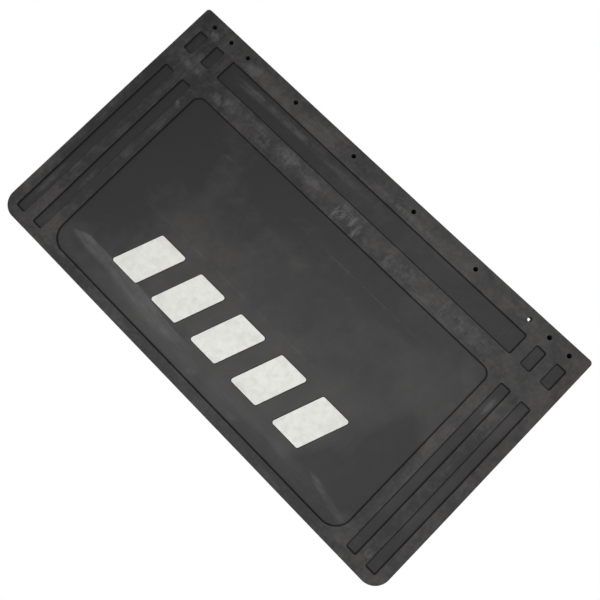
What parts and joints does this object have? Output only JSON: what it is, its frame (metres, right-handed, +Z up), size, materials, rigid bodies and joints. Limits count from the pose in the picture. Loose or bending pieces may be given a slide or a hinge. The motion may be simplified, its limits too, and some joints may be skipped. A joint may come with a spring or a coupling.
{
  "type": "mud flap",
  "caption": "Moulded rubber mud flap with a bolt row along its top edge, recessed ribs and slanted white bars, bending on two lines.",
  "frame": {"origin": "middle of the bolt row, on the back face", "axes": "+X across the flap, to the right as seen from the decorated front; +Y out of the back face; +Z up as the flap hangs"},
  "size_m": [0.64, 0.008, 0.36],
  "materials": {
    "rubber": "matt moulded, slightly bloomed",
    "white_rubber": "matt, slightly mottled"
  },
  "bodies": {
    "fixing_strip": {"fixing_strip": "rubber"},
    "upper_flap": {"upper_flap": "rubber"},
    "lower_flap": {"lower_flap": "rubber", "white_bar_1": "white_rubber", "white_bar_2": "white_rubber", "white_bar_3": "white_rubber", "white_bar_4": "white_rubber", "white_bar_5": "white_rubber"}
  },
  "joints": [
    {"name": "upper_bend", "type": "hinge", "parent": "fixing_strip", "child": "upper_flap", "pos_m": [0, -0.004, -0.03075], "axis": [1, 0, 0], "range_deg": [-45, 45], "stiffness_Nm_per_rad": 0.8},
    {"name": "lower_bend", "type": "hinge", "parent": "upper_flap", "child": "lower_flap", "pos_m": [0, -0.004, -0.1535], "axis": [1, 0, 0], "range_deg": [-45, 45], "stiffness_Nm_per_rad": 0.8}
  ]
}
